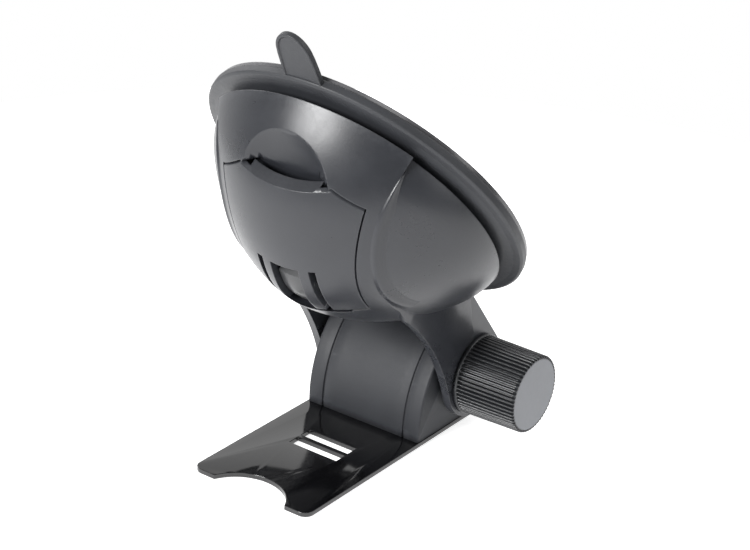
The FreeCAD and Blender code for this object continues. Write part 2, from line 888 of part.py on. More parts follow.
def hub_clearance():
    """The barrel that the lever's hub sweeps, and the room below it as the pin comes down."""
    sketch = loose_sketch("hub_room_section", "XY_Plane")
    half = size("hub_half") + 0.5
    loop(sketch,
         (-half, 0.0),
         (half, 0.0),
         (half, 4.9),
         (-half, 4.9, 55.0, 1))
    barrel = revolve("hub_room_barrel", sketch, Vector(1, 0, 0))
    place(barrel, (0.0, size("pin_y"), size("pin_z")))
    wide = box("hub_room_wide", (-half, size("pin_y") - 5.3, size("tray_floor")),
               (half, size("pin_y") + 5.0, size("pin_z") - 1.0))
    deep = box("hub_room_deep", (-9.0, size("pin_y") - 6.3, size("tray_floor")),
               (9.0, size("pin_y"), size("pin_z")))
    return fuse("hub_room", barrel, wide, deep)


def inner_frame():
    """The ring that guides the stem and presses on the back of the cup."""
    top = size("frame_top")
    low = top - size("frame_thickness")
    disc = cylinder("frame_disc", size("frame_radius"), size("frame_thickness"),
                    (0.0, 0.0, low))
    skirt_outer = cylinder("frame_skirt_outer", size("frame_radius"), top - size("press_height"),
                           (0.0, 0.0, size("press_height")))
    skirt_inner = cylinder("frame_skirt_inner", size("frame_radius") - size("press_wall"),
                           low - size("press_height") + 1, (0.0, 0.0, size("press_height") - 1))
    skirt = cut("frame_skirt", skirt_outer, skirt_inner)
    hole = box("frame_stem_hole",
               (-size("stem_half_x") - size("stem_play"),
                -size("stem_low") - size("stem_play"), low - 1),
               (size("stem_half_x") + size("stem_play"),
                size("stem_high") + size("stem_play"), top + 1))
    screw_holes = [cylinder(f"frame_hole_{number}", 1.55, 6.0, (x, y, low - 1))
                   for number, (x, y) in enumerate(FRAME_SCREWS, start=1)]
    solid = fuse("frame_solid", disc, skirt)
    keep(in_head(cut("InnerFrame", solid, fuse("frame_holes", hole, *screw_holes))),
         "inner_frame")


def frame_screws():
    low = size("frame_top") - size("frame_thickness")
    screws = []
    for number, (x, y) in enumerate(FRAME_SCREWS, start=1):
        head = cylinder(f"frame_screw_head_{number}", 2.7, 1.6, (x, y, low - 1.6))
        shank = cylinder(f"frame_screw_shank_{number}", 1.25,
                         size("frame_screw_reach") - 0.2, (x, y, low))
        screws.append(fuse(f"frame_screw_{number}", head, shank))
    group = doc.addObject("Part::Compound", "FrameScrews")
    group.Links = screws
    keep(in_head(group), "frame_screws")


def cam_runner():
    """The steel plate that the lever's cams run on."""
    top = size("pin_z") - size("cam_reach") - size("cam_play")
    plate = box("runner_plate", (-11.8, -6.4, top - size("runner_thickness")),
                (11.8, 7.4, top))
    play = size("stem_play") * 1.5
    hole = box("runner_hole",
               (-size("stem_half_x") - play, -size("stem_low") - play, top - 3),
               (size("stem_half_x") + play, size("stem_high") + play, top + 1))
    keep(in_head(cut("CamRunner", plate, hole)), "cam_runner")


# ---------------------------------------------------------------- lock lever

def cam_point(turn):
    """A point of the cam, whose reach falls evenly with the turn: an involute of a circle."""
    rate = size("cam_travel") * (2 / math.pi)
    reach = size("cam_reach") - size("cam_travel") * (turn / 90)
    side = math.sin(math.radians(turn))
    down = math.cos(math.radians(turn))
    return (size("pin_y") - reach * side + rate * down,
            size("pin_z") - reach * down - rate * side)


def lever_hub():
    sketch = loose_sketch("hub_side", "YZ_Plane")
    cam = size("cam_reach")
    open_reach = cam - size("cam_travel")
    right = size("pin_y") + 4.5
    start = cam_point(0)
    low = cam_point(45)
    end = cam_point(90)
    loop(sketch,
         (right, size("pin_z") + 3.5),
         (-size("lever_bottom") + 0.0, size("pin_z") + 3.5),
         (size("pin_y") - open_reach, size("pin_z")),
         end,
         (low[0], low[1], open_reach + size("cam_travel") / 4, 1),
         (start[0], start[1], cam - size("cam_travel") / 4, 1),
         (right, start[1]))
    bar = extrude("hub_bar", sketch, Vector(1, 0, 0), size("hub_half") * 2)
    place(bar, (-size("hub_half"), 0.0, 0.0))
    return common("hub", bar, dome("hub_dome", 0.2, 10.0))


def lever_shell(name, thickness):
    low = 12.0
    return cut(name, dome(name + "_top", 0.0, low), dome(name + "_under", thickness, low - 1))


def lock_lever():
    """The lever's skin is thinner round its edge, so it swings clear of the pocket's walls."""
    low = 12.0
    lip = common("lever_lip", lever_shell("lever_thin", size("lever_lip")),
                 lever_plan("lever_prism", 0.0, low, 44.0))
    thick_plan = fuse("lever_thick_plan",
                      lever_plan("lever_inner_prism", -size("lever_lip_width"), low, 44.0,
                                 bottom=size("lever_bottom")),
                      box("lever_grip", (-10.0, 20.0, low), (10.0, size("lever_top"), 44.0)))
    panel = common("lever_panel", lever_shell("lever_skin", size("lever_thickness")), thick_plan)
    solid = fuse("lever_solid", panel, lip, lever_hub())
    far = -size("lever_bottom") - 8
    window = box("lever_window", (-size("window_half"), far, low),
                 (size("window_half"), size("window_top"), 44.0))
    slits = [box("lever_slit_right", (size("slit_inner"), far, low),
                 (size("slit_outer"), size("window_top"), 44.0)),
             box("lever_slit_left", (-size("slit_outer"), far, low),
                 (-size("slit_inner"), size("window_top"), 44.0))]
    pin_hole = cylinder("lever_pin_hole", size("pin_radius"), size("pin_half") * 2,
                        (-size("pin_half"), size("pin_y"), size("pin_z")), Vector(1, 0, 0))
    keep(in_head(cut("LockLever", solid, fuse("lever_openings", window, *slits, pin_hole))),
         "lock_lever")


def lever_pin():
    """The rod through the lever's cams and the stem."""
    sketch = loose_sketch("pin_section", "XY_Plane")
    half = size("pin_half") - 0.05
    radius = size("pin_radius") - 0.04
    loop(sketch,
         (-half, 0.0),
         (half, 0.0),
         (half, radius - 0.3),
         (half - 0.3, radius),
         (-half + 0.3, radius),
         (-half, radius - 0.3))
    pin = revolve("LeverPin", sketch, Vector(1, 0, 0))
    shift = in_head(pin)
    bind(shift, "Placement.Base.y", head_y + size("pin_y") * cosine(tilt + 90)
         - size("pin_z") * sine(tilt + 90))
    bind(shift, "Placement.Base.z", head_z + size("pin_y") * sine(tilt + 90)
         + size("pin_z") * cosine(tilt + 90))
    keep(shift, "lever_pin")


# ---------------------------------------------------------------- suction cup

def cup_stem():
    """The stiff disc moulded into the cup, with the stem that the lever pulls."""
    disc = cylinder("stem_disc", size("core_radius"), size("core_thickness"),
                    (0.0, 0.0, size("core_bottom")))
    bar = box("stem_bar", (-size("stem_half_x"), -size("stem_low"), size("core_bottom")),
              (size("stem_half_x"), size("stem_high"), 40.0))
    trimmed = common("stem_trimmed", bar, dome("stem_dome", size("stem_sink"), 0.0))
    hole = cylinder("stem_pin_hole", size("pin_radius") - 0.04, size("pin_half") * 2,
                    (-size("pin_half"), size("pin_y"), size("pin_z")), Vector(1, 0, 0))
    keep(in_head(cut("CupStem", fuse("stem_solid", disc, trimmed), hole)), "cup_stem")


def pull_tab():
    """The rubber tab at the top of the cup, which springs a little past the glass plane."""
    half = size("tab_width") / 2
    length = size("tab_length")
    sketch = loose_sketch("tab_outline", "XY_Plane")
    loop(sketch,
         (-half, -3.0),
         (half, -3.0),
         (half * 0.86, length - half * 1.1),
         (0.0, length, half * 1.02, 1),
         (-half * 0.86, length - half * 1.1, half * 1.02, 1))
    tab = extrude("tab", sketch, Vector(0, 0, 1), size("tab_thickness"))
    tab.Placement = Placement(Vector(0, size("cup_radius").value - 0.2, 1.3),
                              Rotation(Vector(1, 0, 0), -size("tab_lean").value))
    bind(tab, "Placement.Base.y", size("cup_radius") - 0.2)
    return tab


def suction_cup():
    section = loose_sketch("cup_section", "XZ_Plane")
    low = size("gel_thickness")
    loop(section,
         (0.0, low),
         (size("cup_radius") - 0.3, low),
         (size("cup_radius"), low + 0.4),
         (size("cup_radius"), size("cup_side_top") - 0.3),
         (size("cup_radius") - 0.3, size("cup_side_top")),
         (size("cup_shoulder_radius"), size("cup_back")),
         (size("cup_hub_radius") + 2.0, size("cup_back")),
         (size("cup_hub_radius"), size("cup_back") + 1.0),
         (size("cup_hub_radius") - 0.6, size("cup_hub_top")),
         (size("spring_recess"), size("cup_hub_top")),
         (size("spring_recess"), size("spring_seat")),
         (0.0, size("spring_seat")))
    disc = revolve("cup_disc", section)
    core = cylinder("cup_core_room", size("core_radius"), size("core_thickness"),
                    (0.0, 0.0, size("core_bottom")))
    bar = box("cup_bar_room", (-size("stem_half_x"), -size("stem_low"), size("core_bottom")),
              (size("stem_half_x"), size("stem_high"), 40.0))
    solid = fuse("cup_solid", disc, pull_tab())
    keep(in_head(cut("SuctionCup", solid, fuse("cup_room", core, bar))), "suction_cup")


def gel_pad():
    """The tacky layer on the cup's glass face."""
    disc = doc.addObject("Part::Cone", "GelPad")
    bind(disc, "Radius1", size("gel_radius"))
    bind(disc, "Radius2", size("gel_radius") - 0.25)
    bind(disc, "Height", size("gel_thickness"))
    keep(in_head(disc), "gel_pad")


def return_spring():
    """The coil that pushes the cup away from the dome when the lever is lifted."""
    wire_radius = sheet.spring_wire / 2
    low = sheet.spring_seat + wire_radius + 0.05
    high = sheet.frame_top - sheet.frame_thickness - wire_radius - 0.05
    helix = Part.makeHelix((high - low) / sheet.spring_turns, high - low, sheet.spring_radius)
    circle = Part.Circle(Vector(sheet.spring_radius, 0, 0), Vector(0, 1, 0), wire_radius)
    coil = doc.addObject("Part::Feature", "spring_coil")
    coil.Shape = Part.Wire(helix.Edges).makePipeShell([Part.Wire([circle.toShape()])], True, True)
    place(coil, (0.0, 0.0, low))
    group = doc.addObject("Part::Compound", "ReturnSpring")
    group.Links = [coil]
    keep(in_head(group), "return_spring")


# ---------------------------------------------------------------- build and write

def build():
    plate_and_screws()
    pivot_block()
    friction_washers()
    pivot_bolt()
    clamp_washer()
    disc_spring()
    knob_body()
    knob_insert()
    knob_cap()
    housing()
    inner_frame()
    frame_screws()
    cam_runner()
    lock_lever()
    lever_pin()
    cup_stem()
    suction_cup()
    gel_pad()
    return_spring()
    doc.recompute()


def write():
    for item in doc.Objects:
        bad = [state for state in item.State if state in ("Invalid", "Error")]
        assert not bad, f"{item.Name} is {bad}"
    os.makedirs("parts", exist_ok=True)
    for item in NODES:
        shape = item.Shape
        assert not shape.isNull() and shape.isValid(), f"{item.Label} is not a valid shape"
        print(item.Label, "solids", len(shape.Solids), "volume", round(shape.Volume, 1))
        shape.exportStep(f"parts/{item.Label}.step")


build()
write()
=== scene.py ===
import json
import math

import bmesh
import bpy
import numpy as np
from mathutils import Matrix, Vector


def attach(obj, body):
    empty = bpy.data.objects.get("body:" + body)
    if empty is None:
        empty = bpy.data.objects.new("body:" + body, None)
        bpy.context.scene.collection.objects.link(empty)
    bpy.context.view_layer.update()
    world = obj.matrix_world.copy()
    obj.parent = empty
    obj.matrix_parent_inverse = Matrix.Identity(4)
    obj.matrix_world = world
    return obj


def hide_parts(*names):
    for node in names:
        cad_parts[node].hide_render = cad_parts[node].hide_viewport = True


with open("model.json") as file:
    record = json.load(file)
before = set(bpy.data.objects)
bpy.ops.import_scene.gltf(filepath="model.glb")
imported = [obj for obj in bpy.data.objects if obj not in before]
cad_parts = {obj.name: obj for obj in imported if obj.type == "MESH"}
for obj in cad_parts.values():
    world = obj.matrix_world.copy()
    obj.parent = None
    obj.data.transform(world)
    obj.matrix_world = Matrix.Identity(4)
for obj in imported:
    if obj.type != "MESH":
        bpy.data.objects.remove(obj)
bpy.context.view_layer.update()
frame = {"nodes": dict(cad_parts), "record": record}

# A windscreen suction mount. Lengths are in millimetres until a mesh is made, which is in
# metres. The plate, block and knob are drawn in the frame's axes. The dome, lever and cup
# are drawn in the head's: x along the pivot, y up the glass, z out of the glass.
MM = 0.001

# ---------------------------------------------------------------- driving sizes

# The CAD's own sizes, repeated because the frame holds meshes only.
PLATE_TOP = 1.2
PIVOT = np.array([0.0, 24.2, 15.0])
HEAD_TILT = math.radians(38.8)
PIVOT_UP_GLASS, PIVOT_OUT_OF_GLASS = -55.1, 17.6

BLOCK_HALF = 17.3
BLOCK_FRONT = 5.5
BLOCK_FRONT_RADIUS = 29.5
BLOCK_FOOT = 2.0
BAND_WIDTH = 4.7

# The dome is turned from a small arc at its tip, a wide one below it and, on the cheeks, a
# tighter one at the side. Each centre is (distance from the axis, height over the glass).
DOME_HEIGHT = 36.1
TIP_RADIUS, CROWN_RADIUS, SIDE_RADIUS = 7.3, 54.7, 22.0
TIP_ANGLE, CROWN_ANGLE = math.radians(11.1), math.radians(54.5)
CHEEK_DROP = 0.5

CUP_RADIUS = 43.0
CUP_FACE = 0.9
TAB_HALF, TAB_LENGTH, TAB_THICKNESS = 5.1, 12.0, 1.5
TAB_LEAN = math.radians(15.6)

FLUTES = 56
KNOB_START, KNOB_END = 21.3, 38.6

# Only the visual model has these.
PLATE_BEVEL = 0.18
BLOCK_EDGE = 0.55
BLOCK_GROOVE_HALF, BLOCK_GROOVE_DEPTH = 0.28, 0.4
KNOB_LIP, KNOB_ROOT, KNOB_TIP = 10.5, 10.3, 10.05
KNOB_BORE, KNOB_RIM = 6.8, 9.45
FLUTE_DEPTH = 1.0
CAP_RADIUS = 9.35

TIP_CENTRE = (0.0, DOME_HEIGHT - TIP_RADIUS)
CROWN_CENTRE = (TIP_CENTRE[0] - (CROWN_RADIUS - TIP_RADIUS) * math.sin(TIP_ANGLE),
                TIP_CENTRE[1] - (CROWN_RADIUS - TIP_RADIUS) * math.cos(TIP_ANGLE))
SIDE_CENTRE = (CROWN_CENTRE[0] + (CROWN_RADIUS - SIDE_RADIUS) * math.sin(CROWN_ANGLE),
               CROWN_CENTRE[1] + (CROWN_RADIUS - SIDE_RADIUS) * math.cos(CROWN_ANGLE))

UP = np.array([0.0, -math.sin(HEAD_TILT), math.cos(HEAD_TILT)])
OUT = np.array([0.0, -math.cos(HEAD_TILT), -math.sin(HEAD_TILT)])
HEAD_AXES = np.array([[1.0, 0.0, 0.0], UP, OUT])
HEAD_ORIGIN = PIVOT - PIVOT_UP_GLASS * UP - PIVOT_OUT_OF_GLASS * OUT


def from_head(points):
    """Points in the head's axes, given in the frame's."""
    return np.asarray(points, float) @ HEAD_AXES + HEAD_ORIGIN


def to_head(points):
    """Points in the frame's axes, given in the head's."""
    return (np.asarray(points, float) - HEAD_ORIGIN) @ HEAD_AXES.T


# ---------------------------------------------------------------- meshes

ARC_STEPS = 5
NEARLY_STRAIGHT = math.radians(176)
WELD_DISTANCE = 1e-6
FLAT_ANGLE = math.radians(0.6)
BEVEL_ANGLE = math.radians(35)
SHARP_ANGLE = math.radians(28)


def show(name, mesh):
    """A smooth-shaded object for a mesh."""
    mesh.polygons.foreach_set("use_smooth", [True] * len(mesh.polygons))
    piece = bpy.data.objects.new(name, mesh)
    bpy.context.scene.collection.objects.link(piece)
    return piece


def make(name, points, faces, body, slot, stands_for=(), in_head=False):
    """A piece from points in millimetres, riding on a CAD body."""
    points = (from_head(points) if in_head else np.asarray(points, float)) * MM
    mesh = bpy.data.meshes.new(name)
    mesh.from_pydata([tuple(p) for p in points], [], [tuple(int(i) for i in f) for f in faces])
    work = bmesh.new()
    work.from_mesh(mesh)
    bmesh.ops.recalc_face_normals(work, faces=work.faces)
    work.to_mesh(mesh)
    work.free()
    piece = show(name, mesh)
    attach(piece, body)
    if stands_for:
        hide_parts(*stands_for)
    paint(piece, slot)
    return piece


def from_cad(name, node, body, slot, bevel=0.0):
    """A piece with a CAD node's shape, in the node's place. With a bevel, its flat faces are
    joined and its edges rounded by that much. Without, its mesh is kept as it is."""
    work = bmesh.new()
    work.from_mesh(frame["nodes"][node].data)
    bmesh.ops.remove_doubles(work, verts=work.verts, dist=WELD_DISTANCE)
    if bevel:
        bmesh.ops.dissolve_limit(work, angle_limit=FLAT_ANGLE, verts=work.verts,
                                 edges=work.edges)
    mesh = bpy.data.meshes.new(name)
    work.to_mesh(mesh)
    work.free()
    piece = show(name, mesh)
    if bevel:
        modifier = piece.modifiers.new("Edges", "BEVEL")
        modifier.width = bevel * MM
        modifier.segments = 3
        modifier.limit_method = "ANGLE"
        modifier.angle_limit = BEVEL_ANGLE
        modifier.harden_normals = True
    else:
        mesh.set_sharp_from_angle(angle=SHARP_ANGLE)
    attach(piece, body)
    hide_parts(node)
    paint(piece, slot)
    return piece


def stack(layers):
    """Rings of points skinned together, and closed at both ends by a fan round their middle."""
    rows, columns = len(layers), len(layers[0])
    points = np.concatenate([np.asarray(layer, float) for layer in layers])
    points = np.concatenate([points, [np.mean(layers[0], 0), np.mean(layers[-1], 0)]])
    first_middle, last_middle = rows * columns, rows * columns + 1
    last_row = (rows - 1) * columns
    faces = []
    for row in range(0, last_row, columns):
        for j in range(columns):
            k = (j + 1) % columns
            faces.append((row + j, row + k, row + columns + k, row + columns + j))
    for j in range(columns):
        k = (j + 1) % columns
        faces.append((first_middle, k, j))
        faces.append((last_middle, last_row + j, last_row + k))
    return points, faces


def rounded(corners, radius):
    """A polyline with each corner between its ends turned into an arc of up to that radius."""
    corners = [np.array(c, float) for c in corners]
    line = [corners[0]]
    for before, corner, after in zip(corners, corners[1:], corners[2:]):
        a, b = before - corner, after - corner
        length_a, length_b = np.linalg.norm(a), np.linalg.norm(b)
        a, b = a / length_a, b / length_b
        angle = math.acos(float(np.clip(a @ b, -1, 1)))
        if angle > NEARLY_STRAIGHT:
            line.append(corner)
            continue
        reach = min(radius / math.tan(angle / 2), length_a * 0.45, length_b * 0.45)
        bow = reach * math.tan(angle / 2)
        centre = corner + (a + b) / np.linalg.norm(a + b) * (bow / math.sin(angle / 2))
        start, end = corner + a * reach - centre, corner + b * reach - centre
        sweep = math.atan2(start[0] * end[1] - start[1] * end[0], start @ end)
        for k in range(ARC_STEPS + 1):
            c, s = math.cos(sweep * k / ARC_STEPS), math.sin(sweep * k / ARC_STEPS)
            line.append(centre + np.array([start[0] * c - start[1] * s,
                                           start[0] * s + start[1] * c]))
    line.append(corners[-1])
    return np.array(line)


def lathe(profile, count):
    """Rings round z from a line of (radius, height), which starts and ends on the axis."""
    turns = np.arange(count) * 2 * math.pi / count
    rings = [np.stack([r * np.cos(turns), r * np.sin(turns), np.full(count, z)], 1)
             for r, z in profile[1:-1]]
    points, faces = stack(rings)
    points[-2] = (0, 0, profile[0][1])
    points[-1] = (0, 0, profile[-1][1])
    return points, faces


def smoothstep(value, low, high):
    """0 below low, 1 above high and an S-curve between."""
    share = np.clip((value - low) / (high - low), 0, 1)
    return share * share * (3 - 2 * share)


# ---------------------------------------------------------------- dome surfaces

ON_SKIN = 0.03
FACES_OUT = 0.97


def read_rows(items, attribute, width, kind=np.float32):
    """A mesh attribute as an array, one row for each item."""
    flat = np.empty(len(items) * width, kind)
    items.foreach_get(attribute, flat)
    return flat.reshape(-1, width) if width > 1 else flat


def dome_height(points, on_cheek):
    """Height above the dome and its outward direction, for points in the head's axes. On a
    cheek, the surface turns in along the smaller arc at the side."""
    r = np.hypot(points[:, 0], points[:, 1])
    z = points[:, 2]
    angle = np.arctan2(r - CROWN_CENTRE[0], z - CROWN_CENTRE[1])
    at_tip = angle < TIP_ANGLE
    centre_r = np.where(at_tip, TIP_CENTRE[0], CROWN_CENTRE[0])
    centre_z = np.where(at_tip, TIP_CENTRE[1], CROWN_CENTRE[1])
    radius = np.where(at_tip, TIP_RADIUS, CROWN_RADIUS)
    if on_cheek:
        at_side = angle > CROWN_ANGLE
        centre_r = np.where(at_side, SIDE_CENTRE[0], centre_r)
        centre_z = np.where(at_side, SIDE_CENTRE[1], centre_z)
        radius = np.where(at_side, SIDE_RADIUS, radius)
    out_r, out_z = r - centre_r, z - centre_z
    length = np.maximum(np.hypot(out_r, out_z), 1e-6)
    unit_r, unit_z = out_r / length, out_z / length
    around = np.maximum(r, 1e-6)
    outward = np.stack([unit_r * points[:, 0] / around, unit_r * points[:, 1] / around,
                        unit_z], 1)
    return length - radius, outward


def round_dome_normals(piece):
    """Gives each face corner on the dome or a cheek that surface's own normal, so that the
    facets of the mesh don't show."""
    mesh = piece.data
    head = to_head(read_rows(mesh.vertices, "co", 3).astype(float) / MM)
    normals = read_rows(mesh.corner_normals, "vector", 3).astype(float)
    vertices = read_rows(mesh.loops, "vertex_index", 1, np.int32)
    sizes = read_rows(mesh.polygons, "loop_total", 1, np.int32)
    flats = np.repeat(read_rows(mesh.polygons, "normal", 3), sizes, axis=0).astype(float)
    for on_cheek, drop in ((False, 0.0), (True, CHEEK_DROP)):
        height, outward = dome_height(head, on_cheek)
        outward = (outward @ HEAD_AXES)[vertices]
        near = np.abs(height[vertices] + drop) < ON_SKIN
        facing = np.einsum("ij,ij->i", outward, flats) > FACES_OUT
        normals = np.where((near & facing)[:, None], outward, normals)
    mesh.normals_split_custom_set([tuple(n) for n in normals])


def on_dome(x, y, lift):
    """Height over the glass of the point that stands lift above the dome, at a place in plan."""
    radius = CROWN_RADIUS + lift
    across = math.hypot(x, y) - CROWN_CENTRE[0]
    return CROWN_CENTRE[1] + math.sqrt(radius ** 2 - across ** 2)


# ---------------------------------------------------------------- materials

# Noise scales, in cells a metre.
CLOUDS, SPECKS, RIPPLES = 55.0, 900.0, 160.0


def noise(tree, vector, scale, detail=3.0, roughness=0.55):
    node = tree.nodes.new("ShaderNodeTexNoise")
    node.inputs["Scale"].default_value = scale
    node.inputs["Detail"].default_value = detail
    node.inputs["Roughness"].default_value = roughness
    tree.links.new(vector, node.inputs["Vector"])
    return node.outputs["Fac"]


def remap(tree, value, low, high, to_low, to_high):
    node = tree.nodes.new("ShaderNodeMapRange")
    for name, number in (("From Min", low), ("From Max", high),
                         ("To Min", to_low), ("To Max", to_high)):
        node.inputs[name].default_value = number
    tree.links.new(value, node.inputs["Value"])
    return node.outputs["Result"]


def combine(tree, operation, first, second):
    node = tree.nodes.new("ShaderNodeMath")
    node.operation = operation
    tree.links.new(first, node.inputs[0])
    tree.links.new(second, node.inputs[1])
    return node.outputs["Value"]


def mix(tree, share, first, second):
    """A colour between two others. Each is a socket or three numbers."""
    node = tree.nodes.new("ShaderNodeMix")
    node.data_type = "RGBA"
    tree.links.new(share, node.inputs["Factor"])
    for name, colour in (("A", first), ("B", second)):
        if isinstance(colour, bpy.types.NodeSocket):
            tree.links.new(colour, node.inputs[name])
        else:
            node.inputs[name].default_value = (*[min(1.0, c) for c in colour], 1.0)
    return node.outputs["Result"]


def bump(tree, height, strength, distance, under):
    node = tree.nodes.new("ShaderNodeBump")
    node.inputs["Strength"].default_value = strength
    node.inputs["Distance"].default_value = distance
    tree.links.new(height, node.inputs["Height"])
    tree.links.new(under, node.inputs["Normal"])
    return node.outputs["Normal"]


def surface(name, colour, rough, grain=2600.0, grain_depth=0.00002, rough_spread=0.05,
            tint=0.12, wear=0.0, metallic=0.0, coat=0.0, coat_rough=0.05, specular=0.5,
            waves=0.0, edge_round=0.25):
    """A moulded, painted or turned surface: fine grain, cloudy gloss, soft edges and slight
    wear. Grain and waves are depths in metres, edge_round is a radius in millimetres."""
    material = bpy.data.materials.new(name)
    material.use_nodes = True
    tree = material.node_tree
    shader = tree.nodes["Principled BSDF"]
    vector = tree.nodes.new("ShaderNodeTexCoord").outputs["Object"]
    cloud = noise(tree, vector, CLOUDS, 4.0)
    fine = noise(tree, vector, grain, 2.0, 0.5)
    speck = noise(tree, vector, SPECKS, 3.0, 0.6)

    shade = mix(tree, remap(tree, cloud, 0.3, 0.7, 0.0, 1.0),
                [c * (1 - tint) for c in colour], [c * (1 + tint) for c in colour])
    if wear:
        geometry = tree.nodes.new("ShaderNodeNewGeometry")
        edge = remap(tree, geometry.outputs["Pointiness"], 0.52, 0.60, 0.0, wear)
        patch = combine(tree, "MULTIPLY", edge, remap(tree, speck, 0.35, 0.65, 0.2, 1.0))
        shade = mix(tree, patch, shade, [c * 1.9 + 0.03 for c in colour])
    tree.links.new(shade, shader.inputs["Base Color"])

    broad = remap(tree, cloud, 0.3, 0.7, rough - rough_spread, rough + rough_spread)
    small = remap(tree, speck, 0.3, 0.7, -rough_spread / 2, rough_spread / 2)
    tree.links.new(combine(tree, "ADD", broad, small), shader.inputs["Roughness"])

    edges = tree.nodes.new("ShaderNodeBevel")
    edges.samples = 6
    edges.inputs["Radius"].default_value = edge_round * MM
    normal = bump(tree, fine, 0.6, grain_depth, edges.outputs["Normal"])
    if waves:
        normal = bump(tree, noise(tree, vector, RIPPLES, 1.0), 0.4, waves, normal)
    tree.links.new(normal, shader.inputs["Normal"])

    shader.inputs["Metallic"].default_value = metallic
    shader.inputs["Specular IOR Level"].default_value = specular
    shader.inputs["Coat Weight"].default_value = coat
    shader.inputs["Coat Roughness"].default_value = coat_rough
    return material


MATERIALS = {
    "shell_plastic": surface("shell_plastic", (0.0215, 0.023, 0.0275), 0.32, wear=0.3),
    "lever_plastic": surface("lever_plastic", (0.0225, 0.024, 0.0285), 0.33, wear=0.3),
    "block_plastic": surface("block_plastic", (0.0235, 0.025, 0.029), 0.55, wear=0.3,
                             specular=0.3),
    "frame_plastic": surface("frame_plastic", (0.015, 0.015, 0.016), 0.55),
    "stem_plastic": surface("stem_plastic", (0.032, 0.033, 0.035), 0.36, wear=0.4),
    "knob_plastic": surface("knob_plastic", (0.015, 0.016, 0.018), 0.33, wear=0.4,
                            specular=0.45, edge_round=0.05),
    "cap_plastic": surface("cap_plastic", (0.130, 0.136, 0.148), 0.42, wear=0.3),
    "washer_nylon": surface("washer_nylon", (0.010, 0.010, 0.010), 0.5),
    "cup_rubber": surface("cup_rubber", (0.0235, 0.025, 0.029), 0.5, grain=3400.0,
                          grain_depth=0.00003, rough_spread=0.07),
    "gel": surface("gel", (0.06, 0.06, 0.065), 0.25, grain_depth=0.000004, coat=0.6,
                   coat_rough=0.12),
    "plate_paint": surface("plate_paint", (0.003, 0.003, 0.0035), 0.08, grain_depth=0.000003,
                           rough_spread=0.02, wear=0.25, specular=0.75, waves=0.000004),
    "steel": surface("steel", (0.55, 0.55, 0.56), 0.32, metallic=1.0, tint=0.08),
    "black_steel": surface("black_steel", (0.030, 0.030, 0.032), 0.38, metallic=0.6, wear=0.5),
    "brass": surface("brass", (0.62, 0.44, 0.18), 0.34, metallic=1.0, tint=0.08),
}


def paint(piece, name):
    piece.data.materials.clear()
    piece.data.materials.append(MATERIALS[name])


# ---------------------------------------------------------------- bracket

def build_plate():
    from_cad("plate", "mount_plate", "bracket", "plate_paint", bevel=PLATE_BEVEL)


def block_outline(inset):
    """The block's side outline as (y, z), drawn in by inset: up the back, round the pivot and
    down the front's large arc, which touches the round over the pivot."""
    front_centre = np.array([BLOCK_FRONT + BLOCK_FRONT_RADIUS, PLATE_TOP + BLOCK_FOOT])
    step = PIVOT[1:] - front_centre
    top = BLOCK_FRONT_RADIUS - np.linalg.norm(step) - inset
    large = BLOCK_FRONT_RADIUS - inset
    join = math.atan2(step[1], step[0])
    back = [(PIVOT[1] + top * math.cos(a), PIVOT[2] + top * math.sin(a))
            for a in np.linspace(0.0, join, 28)]
    front = [(front_centre[0] + large * math.cos(a), front_centre[1] + large * math.sin(a))
             for a in np.linspace(join, math.pi, 40)[1:]]
    foot_back = [(PIVOT[1] + top, PLATE_TOP)]
    foot_front = [(BLOCK_FRONT + inset, PLATE_TOP)]
    return np.array(foot_back + back + front + foot_front)


def block_stations():
    """(inset, x) for each ring along the block: a rounded edge, a groove with soft lips and
    the plain middle, then the same again."""
    groove, wide, deep = BLOCK_HALF - BAND_WIDTH, BLOCK_GROOVE_HALF, BLOCK_GROOVE_DEPTH
    edge = [(BLOCK_EDGE * (1 - math.sin(a)), BLOCK_HALF - BLOCK_EDGE * (1 - math.cos(a)))
            for a in np.linspace(0, math.pi / 2, 7)]
    band = [(0.0, 16.0), (0.0, 15.0)]
    wall = [(0.0, wide + 0.14), (0.04, wide + 0.05), (0.14, wide),
            (deep - 0.08, wide - 0.02), (deep, wide - 0.1)]
    right = edge + band + [(inset, groove + away) for inset, away in wall]
    right += [(inset, groove - away) for inset, away in reversed(wall)]
    middle = [(0.0, x) for x in (9.0, 6.0, 3.0, 0.0, -6.0, -9.0)]
    return right + middle + [(inset, -x) for inset, x in reversed(right)]


def build_block():
    layers = []
    for inset, x in block_stations():
        side = block_outline(inset)
        layers.append(np.column_stack([np.full(len(side), x), side]))
    points, faces = stack(layers)
    make("block", points, faces, "bracket", "block_plastic", ["pivot_block"])


# ---------------------------------------------------------------- head, lever and stem

BEAD_NEAREST, BEAD_NEAREST_Y = 21.6, 4.0
BEAD_RIM, BEAD_RIM_Y = 27.2, 27.9
BEAD_TOP, BEAD_BOTTOM = 26.7, -9.0
BEAD_FLARE_POWER, BEAD_HOOK = 2.6, 6.6
BEAD_STEPS = 60
BEAD_SHARP_ANGLE = math.radians(50)

# The bead across its route, as (out towards the cheek, height over the dome).
BEAD_PROFILE = [(-1.5, -0.04), (-1.0, 0.0), (-0.65, 0.13), (-0.3, 0.31), (0.0, 0.37),
                (0.3, 0.31), (0.65, 0.09), (0.95, -0.18), (1.4, -0.40), (2.0, -0.53),
                (2.0, -1.1), (-1.5, -1.1)]


def build_housing():
    round_dome_normals(from_cad("dome", "housing", "head", "shell_plastic"))


